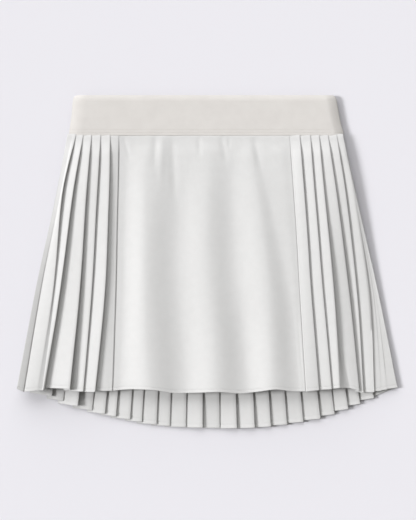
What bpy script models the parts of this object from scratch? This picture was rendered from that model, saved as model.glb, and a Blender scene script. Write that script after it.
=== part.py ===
"""A pleated skort laid flat on its back, front up: an elastic waistband, a plain front panel between
two knife-pleated side fronts, a longer pleated back, and the inner shorts' two legs.
+X is the garment's width, +Y its length with the waist at the far end, +Z up from the surface."""

import math
from collections import namedtuple

import bmesh
import bpy

# Sizes are millimetres, and METRE turns them into the scene's metres. A layer of cloth takes its own
# thickness and a gap, a seam draws each piece back a little, and a fold's free edge turns less tightly.
METRE = 0.001
CLOTH = 1.0
GAP = 0.3
LAYER = CLOTH + GAP
SEAM_BACK = 0.18
EDGE_TURN = 1.5
WELD = 0.01
NAME = "pleated_skort"

WAIST_Y = 155.0
BAND_HEIGHT = 50.0
BAND_THICKNESS = 9.0
BAND_WALL = 1.7
BAND_TURN = 9.0

# How far down the skirt the four columns of every fold's row lie, and where the rows of faces lie.
LEVELS = (0.0, 0.23, 0.615, 1.0)
ROWS = (0.0, 0.09, 0.23, 0.42, 0.615, 0.81, 1.0)

# The skirt's side edges, and how high its front lies over the surface, at the four levels.
SIDE_LEFT = (-172.5, -185.5, -210.5, -233.0)
SIDE_RIGHT = (166.4, 181.5, 208.4, 233.0)
FRONT_REST = (6.8, 9.4, 10.8, 12.0)
FRONT_CROWN = (0.0, 0.5, 1.0, 1.5)
TURN_LEFT = (4.0, 4.0, 3.0, 3.0)
TURN_RIGHT = (5.0, 5.0, 5.0, 6.0)
SIDE_EDGE_Z = 4.9
BACK_SIDE_Z = 4.1
BACK_TURN = 7.0

# The two seams that hold the front panel, and how high the cloth stands on its rest there.
SEAM_LEFT = (-109.4, -110.4, -113.1, -117.3)
SEAM_RIGHT = (100.8, 105.1, 113.1, 120.4)
STAND_LEFT = (0.9, -0.2, -0.7, -0.8)
STAND_RIGHT = (1.4, 2.4, 0.9, 0.5)

# A fold's free edge, how deep its return layer runs back under it, how high the edge stands, and how
# low the next strip starts, at the four levels. A depth below nought is a fold that has opened.
Fold = namedtuple("Fold", "edge depth stand low")
LEFT_FOLDS = (
    Fold(edge=(-162.3, -177.9, -189.5, -208.5), depth=(3.4, 2.8, 1.4, -4.0),
         stand=(4.3, 6.7, 6.0, 7.1), low=(0.3, 3.1, 2.5, 6.0)),
    Fold(edge=(-153.2, -164.5, -181.1, -200.0), depth=(3.4, 5.0, 3.0, 1.6),
         stand=(4.3, 6.5, 6.3, 6.9), low=(0.4, 2.1, 1.3, 2.1)),
    Fold(edge=(-143.0, -148.8, -157.4, -168.4), depth=(3.4, 6.0, 8.0, 8.0),
         stand=(4.3, 5.1, 4.6, 9.0), low=(0.5, 1.4, 0.4, 1.3)),
    Fold(edge=(-131.7, -135.1, -142.2, -152.3), depth=(3.4, 5.0, 6.0, 6.0),
         stand=(4.3, 3.5, 3.1, 3.3), low=(0.5, -0.6, -1.4, -1.6)),
    Fold(edge=(-120.0, -120.8, -126.2, -138.4), depth=(3.4, 5.0, 6.0, 6.0),
         stand=(4.3, 4.0, 4.3, 4.9), low=(0.5, 0.1, 0.0, 0.2)),
)
RIGHT_FOLDS = (
    Fold(edge=(113.3, 119.2, 127.5, 136.9), depth=(3.4, 5.0, 6.5, 7.0),
         stand=(4.3, 4.5, 3.4, 3.2), low=(0.5, 0.4, -1.2, -1.5)),
    Fold(edge=(126.3, 132.3, 142.1, 152.6), depth=(3.4, 5.0, 6.5, 5.0),
         stand=(4.3, 4.6, 4.2, 4.4), low=(0.5, 0.4, -0.7, -0.6)),
    Fold(edge=(137.2, 144.2, 154.7, 161.2), depth=(3.4, 5.0, 5.0, -12.0),
         stand=(4.3, 4.7, 5.1, 5.1), low=(0.5, 0.7, 0.9, -0.1)),
    Fold(edge=(148.2, 158.8, 173.7, 186.0), depth=(3.4, 5.0, 5.0, 4.0),
         stand=(4.3, 3.7, 1.3, 0.2), low=(0.4, -0.1, -2.8, -3.8)),
    Fold(edge=(158.8, 170.9, 183.9, 192.1), depth=(3.4, 3.4, 3.4, 2.0),
         stand=(4.3, 2.9, 0.8, -1.0), low=(0.4, -1.4, -2.7, -4.5)),
)
# Points round the two sides, by how far in from the side edge they lie and how high they stand. The
# left is one high soft fold, and the right has three soft steps that come out on the way down.
Point = namedtuple("Point", "inward stand")
LEFT_SIDE = (
    Point(inward=(0.0, 0.0, 0.0, 0.0), stand=(0.0, 0.0, 0.0, 0.0)),
    Point(inward=(0.6, 0.6, 0.6, 0.6), stand=(0.7, 1.2, 1.6, 2.6)),
    Point(inward=(1.8, 1.8, 1.6, 1.6), stand=(1.7, 3.4, 3.6, 5.6)),
    Point(inward=(3.4, 3.2, 3.2, 3.4), stand=(2.2, 4.8, 4.0, 6.4)),
    Point(inward=(5.8, 5.1, 7.0, 8.6), stand=(2.5, 5.4, 3.0, 4.8)),
)
RIGHT_SIDE = (
    Point(inward=(4.8, 6.9, 10.6, 28.6), stand=(1.7, 1.0, -1.2, -2.8)),
    Point(inward=(4.1, 6.0, 9.2, 26.8), stand=(1.6, 0.8, -2.8, -5.0)),
    Point(inward=(3.4, 4.8, 6.6, 20.2), stand=(1.5, 0.7, -2.0, -4.0)),
    Point(inward=(2.8, 4.0, 5.2, 18.4), stand=(1.4, 0.6, -2.6, -4.7)),
    Point(inward=(2.2, 3.0, 3.8, 12.6), stand=(1.2, 0.4, -2.2, -4.2)),
    Point(inward=(1.6, 2.2, 2.6, 10.8), stand=(0.9, 0.2, -2.2, -4.7)),
    Point(inward=(0.7, 1.0, 1.2, 2.4), stand=(0.4, 0.0, -1.3, -3.0)),
    Point(inward=(0.0, 0.0, 0.0, 0.0), stand=(0.0, 0.0, 0.0, 0.0)),
)
# The front panel's soft ridges and troughs, from its left seam to its right one, at the rows of faces.
Wave = namedtuple("Wave", "x stand")
PANEL_WAVES = (
    Wave(x=(-70.0, -74.4, -75.7, -75.7, -75.7, -74.4, -70.8), stand=(0.9, 2.8, 4.0, 4.5, 4.7, 5.1, 5.7)),
    Wave(x=(-41.4, -40.1, -36.5, -37.7, -36.5, -31.6, -29.1), stand=(0.7, 1.0, 0.6, -0.2, -0.5, -1.1, -0.9)),
    Wave(x=(-4.0, 1.0, -0.9, -0.9, 2.8, 7.7, 10.1), stand=(0.9, 3.7, 3.7, 3.5, 4.1, 4.3, 5.3)),
    Wave(x=(29.7, 28.5, 28.5, 30.9, 35.8, 43.2, 48.1), stand=(0.7, 1.0, 0.6, 0.0, 0.1, -0.7, -0.3)),
    Wave(x=(50.6, 54.2, 60.4, 67.7, 73.8, 77.5, 80.0), stand=(0.9, 3.7, 4.0, 4.1, 4.9, 5.1, 5.9)),
    Wave(x=(70.0, 72.0, 78.0, 89.0, 100.0, 107.0, 112.0), stand=(0.9, 3.2, 2.9, 1.5, 0.7, 0.0, 0.1)),
)
PANEL_STEPS = 4

# The front hem and the back hem, left to right: where each point is across and along the garment.
Hem = namedtuple("Hem", "x y")
FRONT_HEM = (
    Hem(-233.0, -156.5),
    Hem(-200.0, -155.4),
    Hem(-168.0, -155.4),
    Hem(-150.0, -159.2),
    Hem(-112.0, -158.4),
    Hem(-84.0, -156.2),
    Hem(-42.0, -161.0),
    Hem(10.0, -159.3),
    Hem(39.0, -161.4),
    Hem(82.0, -156.2),
    Hem(112.0, -158.8),
    Hem(161.0, -155.0),
    Hem(188.0, -160.6),
    Hem(233.0, -155.0),
)
BACK_HEM = (
    Hem(-233.0, -155.5),
    Hem(-214.0, -160.0),
    Hem(-194.0, -167.0),
    Hem(-161.0, -179.0),
    Hem(-126.0, -188.4),
    Hem(-62.0, -201.3),
    Hem(9.0, -205.0),
    Hem(59.0, -204.3),
    Hem(100.0, -199.4),
    Hem(140.0, -191.5),
    Hem(194.0, -170.6),
    Hem(214.0, -160.4),
    Hem(233.0, -155.0),
)

# The back's folds: their free edges at the hem, seen from inside. They fan in towards the waist.
BACK_EDGES = (
    -213.0, -193.0, -176.5, -160.0, -142.0, -126.0, -112.0, -95.5, -80.5, -63.0, -46.0, -26.5,
    -6.0, 15.0, 36.0, 57.0, 77.0, 97.0, 117.0, 137.0, 155.0, 172.0, 188.0, 205.0,
)
BACK_FAN = 0.735
BACK_DEPTH = (4.0, 4.8, 6.0, 7.0)
BACK_RISE = (3.0, 3.2, 3.8, 4.2)
BACK_STEP = 0.8
BACK_CURL = (0.0, 2.0, 5.0)

# The inner shorts: half widths of the outer fold and of the inner edge, by how far along they lie.
Section = namedtuple("Section", "y outer inner")
SHORTS_SECTIONS = (
    Section(y=163.0, outer=150.0, inner=0.2),
    Section(y=100.0, outer=160.0, inner=0.2),
    Section(y=0.0, outer=176.0, inner=0.2),
    Section(y=-78.0, outer=182.0, inner=0.2),
    Section(y=-92.0, outer=182.5, inner=5.0),
    Section(y=-136.0, outer=180.0, inner=8.0),
)
SHORTS_STEPS = 5

# The waistband's ends, by how far they lie above its lower edge.
BandRow = namedtuple("BandRow", "up left right")
BAND_ROWS = (
    BandRow(up=0.0, left=-171.2, right=167.4),
    BandRow(up=5.0, left=-171.2, right=167.4),
    BandRow(up=12.0, left=-170.0, right=165.2),
    BandRow(up=27.0, left=-168.0, right=162.0),
    BandRow(up=43.0, left=-166.6, right=159.2),
    BandRow(up=48.0, left=-165.0, right=157.4),
    BandRow(up=BAND_HEIGHT, left=-162.0, right=154.6),
)
BAND_TURN_STEPS = 6
BAND_FLAT_STEPS = 8

SKIRT_WHITE = (0.80, 0.79, 0.79, 1.0)
BAND_WHITE = (0.74, 0.71, 0.68, 1.0)


def curve_through(places, values, at):
    """The value at one place of a smooth curve that passes through all the values."""
    at = min(max(at, places[0]), places[-1])
    k = 0
    while k < len(places) - 2 and at > places[k + 1]:
        k += 1
    slopes = []
    for n in (k, k + 1):
        before, after = max(n - 1, 0), min(n + 1, len(places) - 1)
        slopes.append((values[after] - values[before]) / (places[after] - places[before]))
    span = places[k + 1] - places[k]
    t = (at - places[k]) / span
    start = (2 * t**3 - 3 * t**2 + 1) * values[k] + (t**3 - 2 * t**2 + t) * span * slopes[0]
    end = (3 * t**2 - 2 * t**3) * values[k + 1] + (t**3 - t**2) * span * slopes[1]
    return start + end


def down(columns, v, levels=LEVELS):
    """The value at v of the way down, from the columns given at those levels."""
    return curve_through(levels, columns, v)


def straight_through(rows, x):
    """The y of an outline that runs straight from row to row."""
    x = min(max(x, rows[0].x), rows[-1].x)
    for a, b in zip(rows, rows[1:]):
        if x <= b.x:
            return a.y + (b.y - a.y) * (x - a.x) / (b.x - a.x)
    return rows[-1].y


def quarter_turn(part):
    """How much of its height a rounded side has reached, part of the way through its turn."""
    part = min(max(part, 0.0), 1.0)
    return (1 - (1 - part) ** 2) ** 0.5


def front_rest(x, v):
    """The height that the underside of the skirt's front keeps to, down at its rounded sides."""
    left, right = down(SIDE_LEFT, v), down(SIDE_RIGHT, v)
    turn = min(
        quarter_turn((x - left) / down(TURN_LEFT, v)),
        quarter_turn((right - x) / down(TURN_RIGHT, v)),
    )
    middle = (left + right) / 2
    crown = down(FRONT_CROWN, v) * (1 - ((x - middle) / (right - middle)) ** 2)
    return SIDE_EDGE_Z + (down(FRONT_REST, v) - SIDE_EDGE_Z) * turn + crown


def back_rest(x, v):
    """The height of the back's underside: flat on the surface, and turned up at its sides."""
    inward = min(x - down(SIDE_LEFT, v), down(SIDE_RIGHT, v) - x)
    return BACK_SIDE_Z * (1 - quarter_turn(inward / BACK_TURN))


def skirt_y(hem, x, v):
    """How far along the garment a point of a skirt piece lies, v of the way from waist to hem."""
    top = WAIST_Y - GAP
    return top - v * (top - straight_through(hem, x))


def material_of(name, colour, roughness):
    made = bpy.data.materials.new(name)
    made.use_nodes = True
    shader = made.node_tree.nodes["Principled BSDF"]
    shader.inputs["Base Color"].default_value = colour
    shader.inputs["Roughness"].default_value = roughness
    shader.inputs["Metallic"].default_value = 0.0
    made.diffuse_color = colour
    return made


def finish(bm, name, collection, colour, wall, offset=0.0):
    """Turns an open surface into a named piece of cloth with its wall thickness."""
    bmesh.ops.scale(bm, vec=(METRE, METRE, METRE), verts=bm.verts)
    mesh = bpy.data.meshes.new(name)
    bm.to_mesh(mesh)
    bm.free()
    piece = bpy.data.objects.new(name, mesh)
    collection.objects.link(piece)
    mesh.materials.append(material_of(name + "_cloth", colour, 0.85))
    shell = piece.modifiers.new("wall", "SOLIDIFY")
    shell.thickness = wall * METRE
    shell.offset = offset
    shell.use_even_offset = True
    shell.use_quality_normals = True
    return piece


def sheet(columns, rows, place):
    """An open grid of faces, front side up, with each point put where place(column, row) says."""
    bm = bmesh.new()
    bmesh.ops.create_grid(bm, x_segments=columns - 1, y_segments=rows - 1, size=1.0)
    for vert in bm.verts:
        column = round((vert.co.x + 1) / 2 * (columns - 1))
        row = round((1 - vert.co.y) / 2 * (rows - 1))
        vert.co = place(column, row)
    return bm


def fold_stations(fold, edge_turn):
    """The four lines of a fold: its free edge, the turn under it, and the turn back at its root. Where
    the fold has opened, they slope down from the edge to the root."""
    lines = ([], [], [], [])
    for edge, depth, stand, low in zip(*fold):
        root = edge - depth
        if depth > 0:
            points = [(edge, stand), (edge, stand - edge_turn), (root, low + LAYER), (root, low)]
        else:
            points = [(edge - depth * k / 3, stand - (stand - low) * k / 3) for k in range(4)]
        for line, point in zip(lines, points):
            line.append(point)
    return [tuple(zip(*line)) for line in lines]


def skirt_piece(name, collection, stations, rest, hem, levels=LEVELS):
    """A piece of skirt from the lines that run down it: each has its x and its stand at the levels."""

    def place(column, row):
        xs, stands = stations[column]
        v = ROWS[row]
        x = down(xs, v, levels)
        return x, skirt_y(hem, x, v), rest(x, v) + down(stands, v, levels)

    return finish(sheet(len(stations), len(ROWS), place), name, collection, SKIRT_WHITE, CLOTH)


def shifted(columns, by):
    return tuple(c + by for c in columns)


def make_pleats_left(collection):
    stations = []
    for point in LEFT_SIDE:
        xs = tuple(s + i for s, i in zip(SIDE_LEFT, point.inward))
        stations.append((xs, shifted(point.stand, CLOTH / 2)))
    for fold in LEFT_FOLDS:
        stations += fold_stations(fold, EDGE_TURN)
    stations.append((shifted(SEAM_LEFT, -SEAM_BACK), STAND_LEFT))
    return skirt_piece("pleats_left", collection, stations, front_rest, FRONT_HEM)


def make_pleats_right(collection):
    stations = [(shifted(SEAM_RIGHT, SEAM_BACK), STAND_RIGHT)]
    for fold in RIGHT_FOLDS:
        stations += fold_stations(fold, EDGE_TURN)
    for point in RIGHT_SIDE:
        xs = tuple(s - i for s, i in zip(SIDE_RIGHT, point.inward))
        stations.append((xs, shifted(point.stand, CLOTH / 2)))
    return skirt_piece("pleats_right", collection, stations, front_rest, FRONT_HEM)


def make_front_panel(collection):
    """The plain panel, with soft waves that ease from ridge to trough."""

    def at_rows(xs, stands):
        return Wave(tuple(down(xs, v) for v in ROWS), tuple(down(stands, v) for v in ROWS))

    turns = [at_rows(shifted(SEAM_LEFT, SEAM_BACK), STAND_LEFT), *PANEL_WAVES]
    turns.append(at_rows(shifted(SEAM_RIGHT, -SEAM_BACK), STAND_RIGHT))
    stations = []
    for a, b in zip(turns, turns[1:]):
        for step in range(PANEL_STEPS):
            t = step / PANEL_STEPS
            ease = t * t * (3 - 2 * t)
            xs = tuple(p + (q - p) * t for p, q in zip(a.x, b.x))
            stations.append((xs, tuple(p + (q - p) * ease for p, q in zip(a.stand, b.stand))))
    stations.append((turns[-1].x, turns[-1].stand))
    return skirt_piece("front_panel", collection, stations, front_rest, FRONT_HEM, ROWS)


def make_pleats_back(collection):
    """The longer back, its knife pleats lying flat on the surface and curling up at the sides."""
    low = (CLOTH / 2,) * 4
    high = shifted(low, 2 * LAYER)
    stations = [(shifted(SIDE_LEFT, inward), low) for inward in BACK_CURL]
    for hem_x in BACK_EDGES:
        edge = tuple(hem_x * (BACK_FAN + (1 - BACK_FAN) * level) for level in LEVELS)
        rise_end = tuple(e - d - BACK_STEP for e, d in zip(edge, BACK_DEPTH))
        rise_start = tuple(e - r for e, r in zip(rise_end, BACK_RISE))
        stations += [(rise_start, low), (rise_end, high)]
        stations += fold_stations(Fold(edge, BACK_DEPTH, high, low), LAYER)
    stations += [(shifted(SIDE_RIGHT, -inward), low) for inward in reversed(BACK_CURL)]
    return skirt_piece("pleats_back", collection, stations, back_rest, BACK_HEM)


def make_shorts(name, collection, side):
    """One leg of the inner shorts, wrapped from its back edge round the outer side to its front edge.
    side is -1 for the left leg and 1 for the right one."""
    back_z = CLOTH / 2 + 3 * LAYER
    front_z = back_z + LAYER
    across = [(k / SHORTS_STEPS, back_z) for k in range(SHORTS_STEPS + 1)]
    across += [(1 - k / SHORTS_STEPS, front_z) for k in range(SHORTS_STEPS + 1)]
    if side > 0:
        across.reverse()

    def place(column, row):
        section = SHORTS_SECTIONS[row]
        part, z = across[column]
        x = section.inner + (section.outer - section.inner) * part
        return side * x, section.y, z

    bm = sheet(len(across), len(SHORTS_SECTIONS), place)
    bmesh.ops.reverse_faces(bm, faces=bm.faces)
    return finish(bm, name, collection, SKIRT_WHITE, CLOTH)


def band_outline():
    """The band's rounded section, clockwise from the top right: how far a point lies between the two
    turns' centres, how far it bulges out past them, and how far up it is."""
    turn = [math.pi * k / BAND_TURN_STEPS for k in range(BAND_TURN_STEPS + 1)]
    flat = [k / BAND_FLAT_STEPS for k in range(1, BAND_FLAT_STEPS)]
    outline = [(1.0, math.sin(a), math.cos(a)) for a in turn]
    outline += [(1 - t, 0.0, -1.0) for t in flat]
    outline += [(0.0, -math.sin(a), -math.cos(a)) for a in turn]
    outline += [(t, 0.0, 1.0) for t in flat]
    return outline


def make_waistband(collection):
    """The elastic band: a flattened ring, rounded at its ends and its top corners."""
    outline = band_outline()
    half = BAND_THICKNESS / 2

    def place(column, row):
        between, bulge, up = outline[column % len(outline)]
        ends = BAND_ROWS[len(BAND_ROWS) - 1 - row]
        left, right = ends.left + BAND_TURN, ends.right - BAND_TURN
        x = left + (right - left) * between + BAND_TURN * bulge
        return x, WAIST_Y + ends.up, half + half * up

    bm = sheet(len(outline) + 1, len(BAND_ROWS), place)
    bmesh.ops.remove_doubles(bm, verts=bm.verts, dist=WELD)
    return finish(bm, "waistband", collection, BAND_WHITE, BAND_WALL, offset=-1.0)


def build():
    for old in list(bpy.data.objects):
        bpy.data.objects.remove(old, do_unlink=True)
    collection = bpy.data.collections.new(NAME)
    bpy.context.scene.collection.children.link(collection)
    make_waistband(collection)
    make_front_panel(collection)
    make_pleats_left(collection)
    make_pleats_right(collection)
    make_pleats_back(collection)
    make_shorts("shorts_left", collection, -1)
    make_shorts("shorts_right", collection, 1)


build()
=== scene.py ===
# A pleated skort laid flat on its back, front up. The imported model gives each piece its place, and
# the tables below shape the cloth on it. They are in millimetres: +X is the garment's width, +Y
# runs up to the waist and +Z off the surface it lies on.
import bisect
import math

import bmesh
import bpy
from mathutils import Matrix, Vector, noise


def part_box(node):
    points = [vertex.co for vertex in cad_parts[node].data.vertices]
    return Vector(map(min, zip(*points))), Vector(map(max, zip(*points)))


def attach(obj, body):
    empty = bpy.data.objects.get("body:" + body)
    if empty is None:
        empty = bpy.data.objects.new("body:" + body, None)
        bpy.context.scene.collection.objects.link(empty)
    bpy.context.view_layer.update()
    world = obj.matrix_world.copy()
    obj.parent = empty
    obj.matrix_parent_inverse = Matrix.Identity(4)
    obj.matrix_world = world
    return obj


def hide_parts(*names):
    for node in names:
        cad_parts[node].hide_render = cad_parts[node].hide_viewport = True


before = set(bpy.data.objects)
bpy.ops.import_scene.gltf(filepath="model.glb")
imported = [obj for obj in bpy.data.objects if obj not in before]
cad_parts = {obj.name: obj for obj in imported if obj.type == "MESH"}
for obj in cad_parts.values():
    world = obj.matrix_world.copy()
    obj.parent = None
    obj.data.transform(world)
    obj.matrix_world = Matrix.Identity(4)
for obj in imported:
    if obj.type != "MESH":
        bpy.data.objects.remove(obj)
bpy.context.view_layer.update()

metre = 0.001                           # a table's millimetre in the scene's metres
creaseAngle = 58                        # faces that meet more sharply than this are shaded apart
bandLow, bandHigh = [[side / metre for side in corner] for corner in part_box("waistband")]
waistY = bandLow[1]                     # where the skirt is sewn to the band
bandTall = bandHigh[1] - bandLow[1]

# The cloth of the skirt, and how it is folded, sewn and hemmed.
skirt = {
    "cloth": 0.32,           # woven polyester
    "layer": 0.7,            # from one folded layer to the next
    "edgeTurn": 1.0,         # the height of a pressed free edge
    "covered": 0.25,         # the share of each strip that lies level under the fold before it
    "seamBack": 0.12,        # each piece is drawn back this far at a seam
    # how far in from a seam, and how far sunk there: on its upper side, on its lower one, and where
    # its two sides are level
    "seamOver": ((0.0, 0.2), (0.4, 0.0), (1.5, 0.0)),
    "seamUnder": ((0.0, 1.0), (2.0, 1.0), (6.5, 1.0)),
    "seamLevel": ((0.0, 0.3), (0.4, 0.0), (1.4, 0.0)),
    "tuckedUp": 2.5,         # how far the skirt runs up behind the band, and how far it sinks there
    "tuckedIn": 0.9,
    "waistGap": 0.3,         # from the band's lower edge to the top of the tables' cloth
    "frontWaist": 8.3,       # the height of the front where the band holds it, and of the back
    "backWaist": 2.3,
    "pressed": 0.28,         # how much of the folds' height is left there
    "pressLength": 24.0,     # how far down the skirt swells to its full height
    "pressVaries": 4.0,      # how much that varies, over what width, and its place in the noise
    "pressPatch": 16.0,
    "pressSeed": (0.5, 5.9),
    "hemTurn": 0.34,         # from the hem's face to the cloth turned in behind it
    "hemRound": ((0.35, 0.5), (0.0, 1.0)),    # round the hem: how far out and back, in turns
    "hemDepth": 4.4,         # how far the turned cloth runs back up
    "hemRows": (0.0, 0.5, 1.2, 2.2, 2.9, 3.3, 3.7, 4.1, 4.6, 5.5, 7.0, 9.0),     # rows near the hem
    "stitchUp": 3.7,         # where the hem's stitch line lies, how deep it pulls in and how widely
    "stitchSink": 0.12,
    "stitchPull": 0.5,
}
levels = (0.0, 0.23, 0.615, 1.0)        # how far down the skirt each table's four columns lie
skirtLong = 314.0

# The skirt's side edges, its front's height and its two seams at the four levels.
form = {
    "left": (-172.5, -185.5, -211.3, -233.2),
    "right": (166.8, 182.3, 209.8, 233.3),
    "rest": (8.6, 9.6, 11.8, 13.6),
    "crown": (0.0, 0.5, 1.0, 1.5),
    "backEdge": 4.1,
    "backTurn": 7.0,
    "seamLeft": (-109.4, -110.4, -113.1, -117.3),
    "seamRight": (100.8, 105.9, 113.1, 120.4),
    "leftStand": (1.0, -0.2, -1.4, -2.0),
    "rightStand": (0.9, 3.2, 3.2, 2.8),
}


def curveThrough(places, values, at):
    # a smooth curve through all the values
    at = min(max(at, places[0]), places[-1])
    k = 0
    while k < len(places) - 2 and at > places[k + 1]:
        k += 1
    slopes = []
    for n in (k, k + 1):
        before, after = max(n - 1, 0), min(n + 1, len(places) - 1)
        slopes.append((values[after] - values[before]) / (places[after] - places[before]))
    span = places[k + 1] - places[k]
    t = (at - places[k]) / span
    start = (2 * t**3 - 3 * t**2 + 1) * values[k] + (t**3 - 2 * t**2 + t) * span * slopes[0]
    end = (3 * t**2 - 2 * t**3) * values[k + 1] + (t**3 - t**2) * span * slopes[1]
    return start + end


def down(columns, v, places=levels):
    return curveThrough(places, columns, v)


def mixed(a, b, t):
    return tuple(p + (q - p) * t for p, q in zip(a, b))


def shifted(columns, by):
    return tuple(c + by for c in columns)


def eased(t):
    t = min(max(t, 0.0), 1.0)
    return t * t * (3 - 2 * t)


def quarterTurn(part):
    part = min(max(part, 0.0), 1.0)
    return (1 - (1 - part) ** 2) ** 0.5


def frontRest(x, v, free):
    # the height that the front lies at; free is 0 at the band
    left, right = down(form["left"], v), down(form["right"], v)
    middle = (left + right) / 2
    crown = down(form["crown"], v) * (1 - ((x - middle) / (right - middle)) ** 2)
    return skirt["frontWaist"] + (down(form["rest"], v) + crown - skirt["frontWaist"]) * free


def backRest(x, v, free):
    # the back lies flat, and turns up at its two sides to meet the front
    inward = min(x - down(form["left"], v), down(form["right"], v) - x)
    low = skirt["backWaist"] * (1 - free)
    return low + (form["backEdge"] - low) * (1 - quarterTurn(inward / form["backTurn"]))


# Cloth is made from lines that run down it. A line is its x and its stand over the rest at each
# level, and the y of the hem at its foot.


def strip(start, end, steps, crown=0.0, covered=0.0):
    # the lines from one to another, the last left out: level as far as covered, then rising
    lines = []
    for k in range(steps):
        t = k / steps
        bulge = crown * 4 * t * (1 - t)
        lines.append((
            mixed(start[0], end[0], t),
            shifted(mixed(start[1], end[1], max(0.0, t - covered) / (1 - covered)), bulge),
            start[2] + (end[2] - start[2]) * t,
        ))
    return lines


foldCurve = {
    "edge": (90, 50, 10, -30, -90),         # angles round a free edge, from its upper side
    "under": (0.35, 0.7),                   # how far along the cloth that runs back under it
    "root": (90, 140, 180, 220, 270),       # angles round its root
    # how far across an open fold, which falls most steeply at its edge
    "open": (0.0, 0.05, 0.1, 0.17, 0.25, 0.37, 0.5, 0.62, 0.75, 0.87, 0.95, 1.0),
    "openBend": 1.4,
}


def foldShape(edge, depth, stand, low, turn):
    # one level of a fold: round its free edge, back under it, and round its root
    layer = skirt["layer"]
    root = edge - depth
    shape = []
    if depth > 0:
        nose = min(turn / 2, depth / 2)
        heel = min(layer / 2, depth / 2)
        for a in foldCurve["edge"]:
            a = math.radians(a)
            high = stand - turn / 2 + turn / 2 * math.sin(a)
            shape.append((edge - nose + nose * math.cos(a), high))
        for t in foldCurve["under"]:
            shape.append((
                edge - nose + (root + heel - edge + nose) * t,
                stand - turn + (low + layer - stand + turn) * t,
            ))
        for a in foldCurve["root"]:
            a = math.radians(a)
            high = low + layer / 2 + layer / 2 * math.sin(a)
            shape.append((root + heel + heel * math.cos(a), high))
    else:
        # an open fold only falls from its edge to the next strip
        for t in foldCurve["open"]:
            fall = (1 - t) ** foldCurve["openBend"]
            shape.append((edge - depth * t, low + (stand - low) * fall))
    return shape


def foldLines(fold, turn, hemNext):
    # the lines round a fold, its hem running from its own edge to where the next strip starts
    columns = zip(fold["edge"], fold["depth"], fold["stand"], fold["low"])
    shapes = [foldShape(*column, turn) for column in columns]
    lines = []
    for k, places in enumerate(zip(*shapes)):
        xs, stands = zip(*places)
        part = k / (len(shapes[0]) - 1)
        lines.append((xs, stands, fold["hem"][1] + (hemNext - fold["hem"][1]) * part))
    return lines


def seamEdge(xs, stands, hem, side, roll):
    # a piece rolls down into its seam; side is the way from the seam into the piece
    return [
        (shifted(xs, side * (skirt["seamBack"] + inward)), shifted(stands, -sunk), hem)
        for inward, sunk in skirt[roll]
    ]


def hemRows(spacing):
    # how far up from the hem the rows lie: close at the stitch line, then evenly to the waist
    close = list(skirt["hemRows"])
    rest = skirtLong - close[-1]
    count = round(rest / spacing)
    rows = close + [close[-1] + rest * (k + 1) / count for k in range(count)]
    return rows[::-1]


def clothPoints(lines, rest, shape, spacing, turnedTo, places=levels):
    # every point of a skirt piece, row by row: up behind the band, down to the hem and back behind
    # it, and the row that the hem is stitched along
    top = waistY - skirt["waistGap"]
    rows = []
    ups = [skirtLong + skirt["tuckedUp"]] + hemRows(spacing)
    for up in ups:
        v = 1 - up / skirtLong
        row = []
        for xs, stands, hem in lines:
            x = down(xs, v, places)
            y = hem + up * (top - hem) / skirtLong
            vary = noise.noise(Vector((x / skirt["pressPatch"], *skirt["pressSeed"])))
            swell = skirt["pressLength"] + skirt["pressVaries"] * vary
            free = skirt["pressed"] + (1 - skirt["pressed"]) * eased((top - y) / swell)
            fromStitch = (up - skirt["stitchUp"]) / skirt["stitchPull"]
            sink = skirt["stitchSink"] * math.exp(-(fromStitch ** 2))
            if up > skirtLong:
                sink += skirt["tuckedIn"]
            stand = down(stands, v, places)
            if stand > 0:
                stand *= free
            row.append(Vector((x, y, rest(x, v, free) + stand - sink)) + shape(x, y, v))
        rows.append(row)
    stitched = ups.index(skirt["stitchUp"])
    sewn = [(point, normalAt(rows, stitched, c)) for c, point in enumerate(rows[stitched])]
    return rows + turnedHem(rows, ups, turnedTo), sewn


def normalAt(rows, r, c):
    across = rows[r][min(c + 1, len(rows[r]) - 1)] - rows[r][max(c - 1, 0)]
    along = rows[max(r - 1, 0)][c] - rows[min(r + 1, len(rows) - 1)][c]
    return across.cross(along).normalized()


def turnedHem(rows, ups, side):
    # the hem's cloth, folded to its wrong side and laid back up behind its own stitch line
    depth, turn = skirt["hemDepth"], skirt["hemTurn"]
    last = len(rows) - 1
    folded = []
    for out, back in skirt["hemRound"]:
        row = []
        for c, point in enumerate(rows[last]):
            behind = normalAt(rows, last, c) * side * turn * back
            row.append(point + behind + Vector((0, -out * turn, 0)))
        folded.append(row)
    for r in range(last - 1, 0, -1):
        if ups[r] > depth:
            break
        folded.append([p + normalAt(rows, r, c) * side * turn for c, p in enumerate(rows[r])])
    return folded


def pieceOfCloth(name, rows, thickness, material, node):
    # a grid put on the given points, with the cloth's own cut as its UV map and then its thickness
    high, wide = len(rows), len(rows[0])
    bm = bmesh.new()
    bmesh.ops.create_grid(bm, x_segments=wide - 1, y_segments=high - 1, size=1.0)
    alongCut = [[0.0] * wide for _ in rows]
    acrossCut = [[0.0] * wide for _ in rows]
    for r in range(high):
        for c in range(wide):
            if c:
                acrossCut[r][c] = acrossCut[r][c - 1] + (rows[r][c] - rows[r][c - 1]).length
            if r:
                alongCut[r][c] = alongCut[r - 1][c] - (rows[r][c] - rows[r - 1][c]).length
        middle = acrossCut[r][-1] / 2
        acrossCut[r] = [u - middle for u in acrossCut[r]]
    cut = bm.loops.layers.uv.new("cut")
    for vert in bm.verts:
        c = round((vert.co.x + 1) / 2 * (wide - 1))
        r = round((1 - vert.co.y) / 2 * (high - 1))
        vert.co = rows[r][c] * metre
        for loop in vert.link_loops:
            loop[cut].uv = (acrossCut[r][c] * metre, alongCut[r][c] * metre)
    return finishedCloth(name, bm, thickness, 0.0, material, node)


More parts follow.
